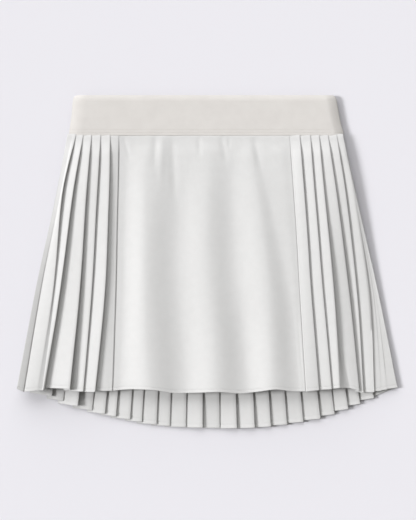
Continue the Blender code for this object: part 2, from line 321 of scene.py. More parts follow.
def finishedCloth(name, bm, thickness, offset, material, node):
    # gives an open surface its wall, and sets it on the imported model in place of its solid
    draft = bpy.data.objects.new(name + "Draft", bpy.data.meshes.new(name + "Draft"))
    bm.to_mesh(draft.data)
    bm.free()
    bpy.context.scene.collection.objects.link(draft)
    wall = draft.modifiers.new("wall", "SOLIDIFY")
    wall.thickness = thickness * metre
    wall.offset = offset
    evaluated = draft.evaluated_get(bpy.context.evaluated_depsgraph_get())
    mesh = bpy.data.meshes.new_from_object(evaluated)
    bpy.data.objects.remove(draft, do_unlink=True)
    mesh.set_sharp_from_angle(angle=math.radians(creaseAngle))
    piece = placed(name, mesh, material)
    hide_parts(node)
    area = sum(p.area for p in mesh.polygons) / 2
    print(name, len(mesh.polygons), "faces,", round(area, 4), "m2 of cloth")
    return piece


def placed(name, mesh, material):
    mesh.name = name
    mesh.shade_smooth()
    mesh.materials.clear()
    mesh.materials.append(material)
    piece = bpy.data.objects.new(name, mesh)
    bpy.context.scene.collection.objects.link(piece)
    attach(piece, "root")
    return piece


stitchMade = {
    "first": 0.75,           # where a row's first stitch lies, in pitches
    "bent": 0.1,             # a stitch is left out where the cloth bends by more than this under it
    "straight": 0.95,        # or where its two ends lie nearer than this share of its length
    "around": 6,             # the faces round a stitch and along it
    "along": 4,
    "batch": 600,            # made in batches, as a growing bmesh makes each new sphere slower
}


def sewnRow(name, paths, stitch, thread):
    # stitches laid along paths of points and normals, left out where the cloth bends sharply
    whole, few = bmesh.new(), bmesh.new()
    draft = bpy.data.meshes.new(name + "Draft")
    half = stitch["long"] / 2
    for path in paths:
        walked = [0.0]
        for (a, _), (b, _) in zip(path, path[1:]):
            walked.append(walked[-1] + (b - a).length)

        def placeAt(distance):
            k = min(bisect.bisect_right(walked, distance), len(walked) - 1)
            t = (distance - walked[k - 1]) / (walked[k] - walked[k - 1])
            return path[k - 1][0].lerp(path[k][0], t), path[k][1]

        for n in range(int((walked[-1] - stitch["pitch"]) / stitch["pitch"])):
            distance = (n + stitchMade["first"]) * stitch["pitch"]
            start, middle, end = (placeAt(distance + by) for by in (-half, 0.0, half))
            bent = ((start[0] + end[0]) / 2 - middle[0]).length
            span = (end[0] - start[0]).length
            if bent > stitchMade["bent"] or span < stitchMade["straight"] * stitch["long"]:
                continue
            along = (end[0] - start[0]).normalized()
            across = middle[1].cross(along).normalized()
            up = along.cross(across)
            sides = (along * stitch["long"], across * stitch["wide"], up * stitch["high"])
            shape = Matrix(sides).transposed() * metre
            spot = Matrix.Translation((middle[0] + up * stitch["proud"]) * metre)
            bmesh.ops.create_uvsphere(
                few, u_segments=stitchMade["around"], v_segments=stitchMade["along"], radius=0.5,
                matrix=spot @ shape.to_4x4(),
            )
            if len(few.verts) > stitchMade["batch"]:
                few.to_mesh(draft)
                whole.from_mesh(draft)
                few.clear()
    few.to_mesh(draft)
    whole.from_mesh(draft)
    mesh = bpy.data.meshes.new(name)
    whole.to_mesh(mesh)
    whole.free()
    few.free()
    print(name, len(mesh.polygons), "faces")
    return placed(name, mesh, thread)


def linear(hexColour):
    parts = [int(hexColour[k:k + 2], 16) / 255 for k in (1, 3, 5)]
    return [p / 12.92 if p <= 0.04045 else ((p + 0.055) / 1.055) ** 2.4 for p in parts] + [1.0]


def addNode(tree, kind, links=(), **settings):
    node = tree.nodes.new(kind)
    for key, value in settings.items():
        if hasattr(node, key):
            setattr(node, key, value)
        else:
            node.inputs[key.replace("_", " ")].default_value = value
    for socket, source in links:
        tree.links.new(source, node.inputs[socket])
    return node


def newMaterial(name):
    material = bpy.data.materials.new(name)
    material.use_nodes = True
    tree = material.node_tree
    return material, tree, tree.nodes["Principled BSDF"]


def waveScale(spacing):
    # a wave texture repeats every pi / 10 over its scale
    return math.pi / 10 / (spacing * metre)


def wovenPolyester():
    # Plain woven polyester, heat pressed into its pleats: matt white with a faint silky sheen, and
    # a weave that is only felt close up.
    look = {
        "white": "#D7D7D6", "shade": "#D0D0CF", "threadGap": 0.32, "patch": 9.0,
        "weaveShare": 0.35, "weaveDeep": 0.05,
    }
    material, tree, shader = newMaterial("wovenPolyesterPressed")
    cut = addNode(tree, "ShaderNodeUVMap", uv_map="cut")
    warp, weft = [
        addNode(
            tree, "ShaderNodeTexWave", [("Vector", cut.outputs[0])],
            wave_type="BANDS", bands_direction=way, Scale=waveScale(look["threadGap"]),
        )
        for way in "XY"
    ]
    weave = addNode(
        tree, "ShaderNodeMath", [(0, warp.outputs["Fac"]), (1, weft.outputs["Fac"])],
        operation="MULTIPLY",
    )
    place = addNode(tree, "ShaderNodeTexCoord")
    patches = addNode(
        tree, "ShaderNodeTexNoise", [("Vector", place.outputs["Object"])],
        Scale=1 / (look["patch"] * metre), Detail=4.0, Roughness=0.55,
    )
    tone = addNode(
        tree, "ShaderNodeMapRange", [("Value", patches.outputs["Fac"])],
        From_Min=0.35, From_Max=0.65, To_Min=0.0, To_Max=0.35,
    )
    threadShadeAndMottle = addNode(
        tree, "ShaderNodeMath", [(0, weave.outputs[0]), (2, tone.outputs[0])],
        operation="MULTIPLY_ADD",
    )
    threadShadeAndMottle.inputs[1].default_value = look["weaveShare"]
    # painted shade along the weave's threads, over random mottled tone, takes the white toward the
    # shade colour
    colour = addNode(tree, "ShaderNodeMix", [(0, threadShadeAndMottle.outputs[0])], data_type="RGBA")
    colour.inputs[6].default_value = linear(look["white"])
    colour.inputs[7].default_value = linear(look["shade"])
    tree.links.new(colour.outputs[2], shader.inputs["Base Color"])
    bump = addNode(
        tree, "ShaderNodeBump", [("Height", weave.outputs[0])],
        Strength=0.25, Distance=look["weaveDeep"] * metre,
    )
    tree.links.new(bump.outputs[0], shader.inputs["Normal"])
    shader.inputs["Roughness"].default_value = 0.8
    shader.inputs["Specular IOR Level"].default_value = 0.25
    shader.inputs["Sheen Weight"].default_value = 0.08
    shader.inputs["Sheen Roughness"].default_value = 0.5
    return material


def ribbedElastic():
    # Woven elastic: rubber threads run along the band and lift it into fine ribs, with a dull face
    # a little warmer than the cloth.
    look = {
        "face": "#DCD9D5", "groove": "#CDC9C5", "ribGap": 1.1, "threadGap": 0.45,
        "crossShare": 0.4, "ribShare": 0.5, "ribDeep": 0.12, "patchScale": 70.0,
    }
    material, tree, shader = newMaterial("wovenElasticRibbed")
    cut = addNode(tree, "ShaderNodeUVMap", uv_map="cut")
    ribs, cross = [
        addNode(
            tree, "ShaderNodeTexWave", [("Vector", cut.outputs[0])],
            wave_type="BANDS", bands_direction=way, Scale=waveScale(look[gap]),
        )
        for way, gap in (("Y", "ribGap"), ("X", "threadGap"))
    ]
    height = addNode(
        tree, "ShaderNodeMath", [(0, cross.outputs["Fac"]), (2, ribs.outputs["Fac"])],
        operation="MULTIPLY_ADD",
    )
    height.inputs[1].default_value = look["crossShare"]
    place = addNode(tree, "ShaderNodeTexCoord")
    patches = addNode(
        tree, "ShaderNodeTexNoise", [("Vector", place.outputs["Object"])],
        Scale=look["patchScale"], Detail=5.0,
    )
    mixer = addNode(
        tree, "ShaderNodeMath", [(0, ribs.outputs["Fac"]), (2, patches.outputs["Fac"])],
        operation="MULTIPLY_ADD",
    )
    mixer.inputs[1].default_value = look["ribShare"]
    # the grooves between the ribs are painted darker as shade, over random patches of tone
    tone = addNode(
        tree, "ShaderNodeMapRange", [("Value", mixer.outputs[0])],
        From_Min=0.3, From_Max=1.1, To_Min=0.6, To_Max=0.0,
    )
    colour = addNode(tree, "ShaderNodeMix", [(0, tone.outputs[0])], data_type="RGBA")
    colour.inputs[6].default_value = linear(look["face"])
    colour.inputs[7].default_value = linear(look["groove"])
    tree.links.new(colour.outputs[2], shader.inputs["Base Color"])
    bump = addNode(
        tree, "ShaderNodeBump", [("Height", height.outputs[0])],
        Strength=0.35, Distance=look["ribDeep"] * metre,
    )
    tree.links.new(bump.outputs[0], shader.inputs["Normal"])
    shader.inputs["Roughness"].default_value = 0.82
    shader.inputs["Specular IOR Level"].default_value = 0.25
    shader.inputs["Sheen Weight"].default_value = 0.08
    return material


def knitJersey():
    # Knitted polyester jersey: smooth and soft, with fine wales down the leg.
    look = {
        "white": "#E0E0DE", "gap": "#D0D0CE", "waleGap": 0.6, "courseGap": 0.48,
        "courseShare": 0.5, "knitDeep": 0.08,
    }
    material, tree, shader = newMaterial("knitJersey")
    cut = addNode(tree, "ShaderNodeUVMap", uv_map="cut")
    wales, courses = [
        addNode(
            tree, "ShaderNodeTexWave", [("Vector", cut.outputs[0])],
            wave_type="BANDS", bands_direction=way, Scale=waveScale(look[gap]),
        )
        for way, gap in (("X", "waleGap"), ("Y", "courseGap"))
    ]
    height = addNode(
        tree, "ShaderNodeMath", [(0, courses.outputs["Fac"]), (2, wales.outputs["Fac"])],
        operation="MULTIPLY_ADD",
    )
    height.inputs[1].default_value = look["courseShare"]
    # the gaps between the knit's loops are painted darker as shade
    colour = addNode(tree, "ShaderNodeMix", [(0, height.outputs[0])], data_type="RGBA")
    colour.inputs[6].default_value = linear(look["gap"])
    colour.inputs[7].default_value = linear(look["white"])
    tree.links.new(colour.outputs[2], shader.inputs["Base Color"])
    bump = addNode(
        tree, "ShaderNodeBump", [("Height", height.outputs[0])],
        Strength=0.3, Distance=look["knitDeep"] * metre,
    )
    tree.links.new(bump.outputs[0], shader.inputs["Normal"])
    shader.inputs["Roughness"].default_value = 0.8
    shader.inputs["Sheen Weight"].default_value = 0.12
    return material


def spunThread(name, colour):
    # Spun polyester sewing thread: duller than the cloth, and twisted.
    look = {"twistScale": 900.0, "shaded": 0.86}
    material, tree, shader = newMaterial(name)
    place = addNode(tree, "ShaderNodeTexCoord")
    twist = addNode(
        tree, "ShaderNodeTexWave", [("Vector", place.outputs["Object"])],
        wave_type="BANDS", bands_direction="DIAGONAL", Scale=look["twistScale"],
    )
    shade = addNode(tree, "ShaderNodeMix", [(0, twist.outputs["Fac"])], data_type="RGBA")
    shade.inputs[6].default_value = linear(colour)
    shade.inputs[7].default_value = [look["shaded"] * c for c in linear(colour)[:3]] + [1.0]
    tree.links.new(shade.outputs[2], shader.inputs["Base Color"])
    shader.inputs["Roughness"].default_value = 0.7
    return material


clothWhite = wovenPolyester()
bandElastic = ribbedElastic()
jersey = knitJersey()
threadWhite = spunThread("spunThreadWhite", "#DEDEDC")
threadWarm = spunThread("spunThreadWarm", "#D6D0C9")
print("materials made")

hemStitch = {"long": 1.9, "wide": 0.42, "high": 0.3, "pitch": 2.6, "proud": 0.28}


# The slight unevenness of laid cloth. Each wave has its lengths across and down, its place in the
# noise and its size: two lift the cloth and one sways it sideways.
uneven = {
    "slow": (42.0, 85.0, 3.1, 0.25),
    "quick": (15.0, 34.0, 7.7, 0.06),
    "sway": (60.0, 90.0, 11.3, 0.5),
    "freeBy": 60.0,          # how far below the band it is full
}


def waveAt(wave, x, y):
    wide, long, seed, size = wave
    return size * noise.noise(Vector((x / wide, y / long, seed)))


def frontWaver(x, y, v):
    # the same for every layer at a place
    free = eased((waistY - y) / uneven["freeBy"])
    lift = waveAt(uneven["slow"], x, y) + waveAt(uneven["quick"], x, y)
    return Vector((waveAt(uneven["sway"], x, y) * free, 0.0, lift * free))


# A fold's free edge, how far its root lies behind it (less than nothing on an open fold), how high
# it stands, and how low the next strip starts, at the four levels. Its hem is given at its root and
# at its edge. The side is given by how far in from the form's edge it is, and how high.
leftPleats = {
    "side": (
        {"inward": (5.0, 6.0, 7.0, 8.0), "stand": (-3.8, -4.8, -6.8, -8.6)},
        {"inward": (1.9, 2.4, 2.6, 3.0), "stand": (-1.0, 0.0, -1.0, 0.0)},
        {"inward": (0.5, 0.7, 0.7, 0.7), "stand": (1.0, 3.4, 2.8, 5.4)},
        {"inward": (0.0, 0.0, 0.0, 0.0), "stand": (2.1, 5.1, 4.5, 7.4)},
        {"inward": (0.5, 0.5, 0.5, 0.5), "stand": (2.3, 5.2, 4.6, 7.6)},
        {"inward": (4.2, 3.6, 5.3, 7.2), "stand": (2.5, 5.7, 3.8, 6.2)},
        {"inward": (4.8, 4.2, 6.0, 8.0), "stand": (2.55, 5.8, 3.3, 5.3)},
        {"inward": (5.6, 5.0, 7.4, 9.8), "stand": (2.6, 5.9, 3.5, 5.6)},
    ),
    "sideHem": (-154.7, -154.7, -154.8, -155.0, -155.6, -158.6, -158.9, -159.0),
    "folds": (
        {"edge": (-162.3, -177.9, -189.5, -208.5), "depth": (4.2, 2.8, -1.6, -6.0),
         "stand": (3.4, 7.2, 6.2, 6.5), "low": (0.8, 3.2, 4.8, 5.7), "hem": (-159.0, -157.5)},
        {"edge": (-153.2, -165.0, -180.8, -200.0), "depth": (4.6, 6.0, 3.0, 1.6),
         "stand": (3.2, 6.8, 6.4, 5.2), "low": (0.8, 2.2, 1.0, 0.2), "hem": (-157.5, -156.6)},
        {"edge": (-143.0, -148.6, -156.8, -168.6), "depth": (5.0, 6.0, 8.0, 8.0),
         "stand": (3.2, 5.6, 4.8, 6.0), "low": (0.8, 1.5, -1.2, -3.2), "hem": (-154.7, -155.3)},
        {"edge": (-131.7, -135.5, -142.4, -152.5), "depth": (5.0, 5.5, 6.0, 6.0),
         "stand": (3.1, 3.8, 2.2, 1.9), "low": (0.7, 0.8, -0.6, -1.0), "hem": (-159.0, -159.0)},
        {"edge": (-120.0, -120.8, -126.0, -138.0), "depth": (5.0, 6.0, 6.0, 6.0),
         "stand": (3.0, 3.8, 3.6, 2.6), "low": (0.7, 0.6, -0.7, -2.6), "hem": (-159.2, -159.6)},
    ),
    "seamHem": (-158.6, -158.4),
    "stripSteps": 9,
    "sideSteps": 4,
    "crown": 0.3,
    "seamCrown": 0.4,
    "rowGap": 3.0,
}

rightPleats = {
    "seamHem": -158.8,
    "folds": (
        {"edge": (113.3, 118.9, 127.0, 136.7), "depth": (5.0, 6.0, 6.5, 7.0),
         "stand": (3.1, 5.0, 4.4, 2.8), "low": (0.5, 1.8, 1.4, -0.2), "hem": (-158.8, -157.2)},
        {"edge": (126.3, 131.6, 141.3, 152.3), "depth": (5.0, 6.0, 6.5, 5.0),
         "stand": (3.1, 4.8, 4.0, 2.2), "low": (0.5, 1.8, 1.2, -0.6), "hem": (-157.4, -156.2)},
        {"edge": (137.2, 143.4, 154.7, 161.8), "depth": (5.0, 5.5, 5.0, -13.0),
         "stand": (3.1, 4.6, 3.7, 2.2), "low": (0.5, 1.7, -1.2, -3.2), "hem": (-156.0, -154.7)},
        {"edge": (148.2, 158.4, 173.9, 186.4), "depth": (4.6, 6.0, 5.0, 4.0),
         "stand": (3.1, 3.0, -1.4, -3.4), "low": (0.5, 0.0, -6.0, -7.2), "hem": (-155.2, -158.6)},
        {"edge": (158.8, 169.9, 184.0, 191.8), "depth": (4.2, 5.0, 4.4, 2.4),
         "stand": (3.0, 1.0, -4.0, -5.8), "low": (0.5, -2.2, -6.8, -9.0), "hem": (-160.2, -160.9)},
    ),
    "side": (
        {"inward": (2.0, 2.4, 10.6, 28.6), "stand": (2.0, -0.2, -5.2, -7.0)},
        {"inward": (1.8, 2.1, 9.4, 27.4), "stand": (1.9, -0.3, -6.6, -8.5)},
        {"inward": (1.5, 1.8, 6.4, 20.2), "stand": (1.8, -0.4, -6.8, -8.7)},
        {"inward": (1.2, 1.5, 5.2, 18.8), "stand": (1.8, -0.5, -7.1, -8.8)},
        {"inward": (0.9, 1.1, 3.8, 12.6), "stand": (1.8, -0.6, -7.1, -8.8)},
        {"inward": (0.7, 0.8, 2.8, 11.2), "stand": (1.7, -0.7, -7.2, -9.1)},
        {"inward": (0.35, 0.35, 0.35, 0.35), "stand": (1.4, -1.0, -7.1, -9.4)},
        {"inward": (0.0, 0.0, 0.0, 0.0), "stand": (0.5, -1.6, -7.3, -9.5)},
        {"inward": (0.1, 0.1, 0.1, 0.1), "stand": (-1.6, -2.6, -7.5, -9.6)},
        {"inward": (0.6, 0.6, 0.6, 0.6), "stand": (-4.0, -4.8, -7.7, -9.7)},
    ),
    "sideHem": (-160.6, -159.6, -159.0, -158.2, -157.3, -156.6, -155.2, -155.0, -154.8, -154.7),
    "stripSteps": 9,
    "lastSteps": 6,
    "sideSteps": 4,
    "crown": 0.3,
    "rowGap": 3.0,
}


def sideLines(points, edge, sign, hems):
    lines = []
    for point, hem in zip(points, hems):
        xs = tuple(e + sign * i for e, i in zip(edge, point["inward"]))
        lines.append((xs, point["stand"], hem))
    return lines


def pleatedLines(start, folds, endHem, steps, crown):
    # each strip and the fold it ends in, from the line where the first strip starts
    lines = []
    for k, fold in enumerate(folds):
        hemNext = folds[k + 1]["hem"][0] if k + 1 < len(folds) else endHem
        around = foldLines(fold, skirt["edgeTurn"], hemNext)
        lines += strip(start, around[0], steps, crown, skirt["covered"] if k else 0.0) + around[:-1]
        start = around[-1]
    return lines, start


def joined(points, steps):
    # a smooth run through side points, the last left out
    lines = []
    places = list(range(len(points)))
    for k in range((len(points) - 1) * steps):
        at = k / steps
        xs = tuple(curveThrough(places, [p[0][n] for p in points], at) for n in range(4))
        stands = tuple(curveThrough(places, [p[1][n] for p in points], at) for n in range(4))
        lines.append((xs, stands, curveThrough(places, [p[2] for p in points], at)))
    return lines


def makeLeftPleats():
    made = leftPleats
    side = sideLines(made["side"], form["left"], 1, made["sideHem"])
    pleats, last = pleatedLines(
        side[-1], made["folds"], made["seamHem"][0], made["stripSteps"], made["crown"]
    )
    seam = seamEdge(form["seamLeft"], form["leftStand"], made["seamHem"][1], -1, "seamOver")[::-1]
    lines = joined(side, made["sideSteps"]) + pleats
    lines += strip(last, seam[0], made["stripSteps"], made["seamCrown"]) + seam
    return clothPoints(lines, frontRest, frontWaver, made["rowGap"], -1)


def makeRightPleats():
    made = rightPleats
    seam = seamEdge(form["seamRight"], form["rightStand"], made["seamHem"], 1, "seamLevel")
    pleats, last = pleatedLines(
        seam[-1], made["folds"], made["sideHem"][0], made["stripSteps"], made["crown"]
    )
    side = sideLines(made["side"], form["right"], -1, made["sideHem"])
    lines = seam[:-1] + pleats + strip(last, side[0], made["lastSteps"], made["crown"])
    lines += joined(side, made["sideSteps"]) + [side[-1]]
    return clothPoints(lines, frontRest, frontWaver, made["rowGap"], -1)


# The front panel's broad ridges and troughs from its left seam to its right one, at its own levels,
# and then the short creases that the band's seam draws into it.
panel = {
    "levels": (0.0, 0.1, 0.23, 0.42, 0.615, 0.81, 1.0),
    "turns": (
        {"x": (-70.0, -74.4, -75.7, -75.7, -75.7, -74.4, -70.8),
         "stand": (0.9, 2.0, 3.2, 3.8, 4.1, 4.4, 4.9)},
        {"x": (-41.4, -40.1, -36.5, -37.7, -36.5, -31.6, -29.1),
         "stand": (0.5, 0.9, 0.7, 0.1, -0.2, -0.8, -0.6)},
        {"x": (-4.0, 1.0, -0.9, -0.9, 2.8, 7.7, 10.1),
         "stand": (1.1, 2.2, 3.4, 4.1, 4.7, 4.9, 5.6)},
        {"x": (29.7, 28.5, 28.5, 30.9, 35.8, 43.2, 48.1),
         "stand": (0.7, 1.1, 1.2, 1.0, 1.2, 0.4, 0.7)},
        {"x": (50.6, 54.2, 60.4, 67.7, 73.8, 77.5, 80.0),
         "stand": (1.1, 2.5, 4.1, 5.4, 6.5, 6.5, 6.6)},
        {"x": (60.4, 66.5, 75.1, 88.5, 100.8, 107.4, 112.0),
         "stand": (0.9, 1.9, 3.1, 3.2, 3.1, 2.5, 2.5)},
        {"x": (89.0, 92.0, 95.5, 101.5, 108.0, 112.4, 117.2),
         "stand": (1.1, 2.4, 3.5, 3.6, 3.3, 2.7, 2.7)},
    ),
    "steps": 22,                            # lines over each stretch of this width
    "stepsOver": 36,
    "rowGap": 2.5,
    # how a crease swells from before its start, and fades from its middle on, in its own lengths
    "fadeIn": (-0.1, 0.25),
    "fadeOut": (0.45, 0.6),
    "creases": (
        {"path": ((-103.9, 154.0), (-94.1, 120.0)), "half": 2.2, "rise": -0.5},
        {"path": ((-64.6, 154.0), (-65.9, 112.0)), "half": 3.6, "rise": -0.45},
        {"path": ((-56.1, 152.0), (-58.5, 88.0)), "half": 4.2, "rise": 0.5},
        {"path": ((-44.0, 152.0), (-39.0, 60.0)), "half": 5.0, "rise": -0.6},
        {"path": ((-10.7, 154.0), (-10.1, 124.0)), "half": 2.8, "rise": -0.4},
        {"path": ((17.0, 154.0), (24.0, 116.0)), "half": 4.0, "rise": -0.55},
        {"path": ((26.0, 154.0), (26.6, 136.0)), "half": 2.0, "rise": -0.35},
        {"path": ((56.7, 152.0), (66.5, 106.0)), "half": 4.2, "rise": -0.55},
        {"path": ((83.6, 153.5), (86.2, 145.0)), "half": 1.8, "rise": 0.35},
    ),
    "hem": (
        (-118.0, -158.4), (-92.0, -156.2), (-66.0, -157.2), (-42.0, -161.0), (-22.0, -160.8),
        (15.0, -159.4), (40.0, -161.4), (62.0, -159.0), (83.0, -156.2), (104.0, -158.6),
        (121.0, -158.8),
    ),
}


def panelHem(x):
    return curveThrough([p[0] for p in panel["hem"]], [p[1] for p in panel["hem"]], x)


def panelWaver(x, y, v):
    # the panel's creases, each a soft groove or ridge that fades at both its ends
    (start, swell), (middle, fall) = panel["fadeIn"], panel["fadeOut"]
    rise = 0.0
    for crease in panel["creases"]:
        (x1, y1), (x2, y2) = crease["path"]
        length = math.hypot(x2 - x1, y2 - y1)
        wayX, wayY = (x2 - x1) / length, (y2 - y1) / length
        along = ((x - x1) * wayX + (y - y1) * wayY) / length
        aside = ((x - x1) * wayY - (y - y1) * wayX) / crease["half"]
        fade = eased((along - start) / swell) * (1 - eased((along - middle) / fall))
        rise += crease["rise"] * math.exp(-aside * aside) * fade
    return frontWaver(x, y, v) + Vector((0.0, 0.0, rise))


def makePanel():
    def atPanel(columns):
        return tuple(down(columns, v) for v in panel["levels"])

    left = atPanel(form["seamLeft"]), atPanel(form["leftStand"])
    right = atPanel(form["seamRight"]), atPanel(form["rightStand"])
    startEdge = seamEdge(*left, panelHem(form["seamLeft"][3]), 1, "seamUnder")
    endEdge = seamEdge(*right, panelHem(form["seamRight"][3]), -1, "seamLevel")[::-1]
    turns = [startEdge[-1][:2]]
    turns += [(turn["x"], turn["stand"]) for turn in panel["turns"]]
    turns += [endEdge[0][:2]]
    lines = startEdge[:-1]
    for a, b in zip(turns, turns[1:]):
        steps = max(3, round(panel["steps"] * (b[0][3] - a[0][3]) / panel["stepsOver"]))
        for k in range(steps):
            t = k / steps
            xs = mixed(a[0], b[0], t)
            lines.append((xs, mixed(a[1], b[1], eased(t)), panelHem(xs[-1])))
    return clothPoints(lines + endEdge, frontRest, panelWaver, panel["rowGap"], -1, panel["levels"])


# The back is pleated all across. Seen from inside, each strip rises evenly to its free edge.
back = {
    "hem": (
        (-233.0, -155.5), (-214.0, -160.0), (-194.0, -167.0), (-161.0, -179.0), (-126.0, -188.4),
        (-62.0, -201.3), (9.0, -205.0), (59.0, -204.3), (100.0, -199.4), (140.0, -191.5),
        (194.0, -170.6), (214.0, -160.4), (233.0, -155.0),
    ),
    # a strip's free edge at the hem, and how high it stands there
    "edges": (
        (-213.0, 3.2), (-192.0, 5.4), (-178.0, 3.4), (-160.0, 8.2), (-142.5, 3.2), (-126.6, 4.8),
        (-113.0, 4.4), (-95.5, 3.6), (-81.1, 3.0), (-63.0, 3.4), (-46.7, 3.0), (-26.9, 3.4),
        (-6.2, 5.2), (15.0, 3.2), (36.0, 5.8), (58.0, 5.6), (77.9, 4.8), (97.9, 4.0),
        (117.9, 4.0), (138.9, 4.4), (156.4, 3.4), (173.2, 4.6), (188.0, 3.8), (205.0, 3.4),
    ),
    "levels": (0.0, 0.3, 0.6, 0.85, 0.93, 1.0),
    "fan": 0.735,                        # how near the middle an edge starts at the waist
    "depth": (4.0, 5.0, 6.0, 6.6, 6.8, 7.0),
    "low": 0.5,
    "edgeTurn": 1.1,
    "underShorts": 2.7,                  # how high the edges stand as far as the shorts reach
    "opened": (0.0, 0.0, 0.0, 0.1, 0.7, 1.0),    # how far each level is opened to its hem's height
    "curl": (0.0, 0.7, 2.0, 5.0),        # lines near each side, where the back turns up
    "curlSteps": 5,
    "stripSteps": 6,
    "crown": 0.25,
    "leanOver": 350.0,                   # the length over which a strip's slant is measured
    "rowGap": 4.0,
    "lifted": (30.0, 60.0, 21.0, 1.0),   # its own unevenness, from this y on, over this length
    "liftedFrom": -20.0,
    "liftedOver": 60.0,
    "lift": 0.15,
}


def backWaver(x, y, v):
    # only ever upwards, because the back lies on the surface
    free = eased((back["liftedFrom"] - y) / back["liftedOver"])
    return Vector((0.0, 0.0, back["lift"] * (1 + waveAt(back["lifted"], x, y)) * free))


def backHem(x):
    return curveThrough([p[0] for p in back["hem"]], [p[1] for p in back["hem"]], x)


def makeBack():
    low = (back["low"],) * len(back["levels"])
    left, right = (tuple(down(form[side], v) for v in back["levels"]) for side in ("left", "right"))
    lines = []
    for inward in back["curl"]:
        lines.append((shifted(left, inward), low, backHem(left[-1] + inward)))
    start, before = lines.pop(), left[-1]
    for hemX, stand in back["edges"]:
        edge = tuple(hemX * (back["fan"] + (1 - back["fan"]) * level) for level in back["levels"])
        middle = (before + hemX) / 2
        lean = hemX * (1 - back["fan"]) / back["leanOver"]    # a strip's hem is square to its slant

        def squareHem(x):
            return backHem(middle) + lean * (x - middle)

        start = (*start[:2], squareHem(start[0][-1]))
        more = stand - back["underShorts"]
        stands = tuple(back["underShorts"] + more * part for part in back["opened"])
        around = foldLines(
            {"edge": edge, "depth": back["depth"], "stand": stands, "low": low,
             "hem": (0, squareHem(edge[-1]))},
            back["edgeTurn"], squareHem(edge[-1] - back["depth"][-1]),
        )
        lines += strip(start, around[0], back["stripSteps"], back["crown"]) + around[:-1]
        start, before = around[-1], hemX
    curl = [
        (shifted(right, -inward), low, backHem(right[-1] - inward))
        for inward in reversed(back["curl"])
    ]
    lines += strip(start, curl[0], back["curlSteps"]) + curl
    return clothPoints(lines, backRest, backWaver, back["rowGap"], 1, back["levels"])


for name, make, node, stitches in (
    ("frontPanelCloth", makePanel, "front_panel", "panelHemStitches"),
    ("pleatsLeftCloth", makeLeftPleats, "pleats_left", "leftHemStitches"),
    ("pleatsRightCloth", makeRightPleats, "pleats_right", "rightHemStitches"),
    ("pleatsBackCloth", makeBack, "pleats_back", "backHemStitches"),
):
    rows, sewn = make()
    piece = pieceOfCloth(name, rows, skirt["cloth"], clothWhite, node)
    sewnRow(stitches, [sewn], hemStitch, threadWhite)

shorts = {
    "sections": (                        # y, the outer fold's half width, the inner edge's
        (163.0, 150.0, 0.2), (100.0, 160.0, 0.2), (0.0, 176.0, 0.2),
        (-78.0, 182.0, 0.2), (-92.0, 182.5, 5.0), (-136.0, 180.0, 8.0),
    ),
    "innermost": 0.2,                    # the legs never pass the middle
    "backZ": 4.4,                        # the height of each leg's back and front
    "frontZ": 5.7,
    "cloth": 0.5,
    "rows": 60,
    "across": 40,
    "turn": 6,
}


def makeShorts(side):
    ys = [s[0] for s in reversed(shorts["sections"])]
    outers = [s[1] for s in reversed(shorts["sections"])]
    inners = [s[2] for s in reversed(shorts["sections"])]
    half = (shorts["frontZ"] - shorts["backZ"]) / 2
    across = [(k / shorts["across"], shorts["backZ"], 0.0) for k in range(shorts["across"])]
    for k in range(shorts["turn"] + 1):
        a = math.pi * k / shorts["turn"]
        across.append((1.0, shorts["backZ"] + half - half * math.cos(a), half * math.sin(a) - half))
    for k in range(shorts["across"]):
        across.append((1 - (k + 1) / shorts["across"], shorts["frontZ"], 0.0))
    if side > 0:
        across.reverse()
    rows = []
    for r in range(shorts["rows"] + 1):
        y = ys[0] + (ys[-1] - ys[0]) * r / shorts["rows"]
        outer = curveThrough(ys, outers, y)
        inner = max(curveThrough(ys, inners, y), shorts["innermost"])
        rows.append([Vector((side * (inner + (outer - half - inner) * t + half + bulge), y, z))
                     for t, z, bulge in across])
    return rows


for side, name, node in (
    (-1, "shortsLeftKnit", "shorts_left"),
    (1, "shortsRightKnit", "shorts_right"),
):
    leg = makeShorts(side)
    pieceOfCloth(name, leg, shorts["cloth"], jersey, node)

# The waistband is one loop of elastic laid flat, so it has two faces and thin soft ends.
band = {
    "rows": (                            # how far up, and the two ends
        (0.0, -171.2, 167.4), (5.0, -171.2, 167.4), (12.0, -170.0, 165.2), (27.0, -168.0, 162.0),
        (43.0, -166.6, 159.2), (48.0, -165.0, 157.4), (50.0, -162.0, 154.6),
    ),
    "thick": 9.0,
    "wall": 1.7,
    # its front face bends down to its nose, which is undercut
    "leftEnd": {"turn": 17.0, "nose": 7.1, "bend": 2.0, "undercut": 4.5},
    "rightEnd": {"turn": 13.0, "nose": 5.9, "bend": 1.6, "undercut": 0.6},
    "noseLong": 0.6,
    "underNose": 1.0,
    "underTurn": 7.0,
    "endSteps": 12,
    "noseSteps": 8,
    "flatSteps": 110,
    "rowSteps": 56,
    # its front face rounds down along both its edges
    "lowerEdge": {"round": 1.2, "drop": 0.3},
    "upperEdge": {"round": 8.0, "drop": 1.2},
    "stitchRows": (4.0, 7.5),
}
bandStitch = {"long": 1.9, "wide": 0.42, "high": 0.3, "pitch": 2.7, "proud": 0.0}


def bandEnd(end):
    # one end's outline from the front face round to the back: how far in from the end, and how high
    outline = []
    for k in range(band["endSteps"] + 1):
        t = k / band["endSteps"]
        inward = end["turn"] + (band["noseLong"] - end["turn"]) * t
        outline.append((inward, band["thick"] - (band["thick"] - end["nose"]) * t ** end["bend"]))
    middle, half = (end["nose"] + band["underNose"]) / 2, (end["nose"] - band["underNose"]) / 2
    for k in range(1, band["noseSteps"]):
        a = math.pi * k / band["noseSteps"]
        under = end["undercut"] * (1 - math.cos(a)) / 2
        outline.append((band["noseLong"] * (1 - math.sin(a)) + under, middle + half * math.cos(a)))
    start = band["noseLong"] + end["undercut"]
    for k in range(band["endSteps"] + 1):
        t = k / band["endSteps"]
        outline.append((start + (band["underTurn"] - start) * t, band["underNose"] * (1 - t) ** 2))
    return outline


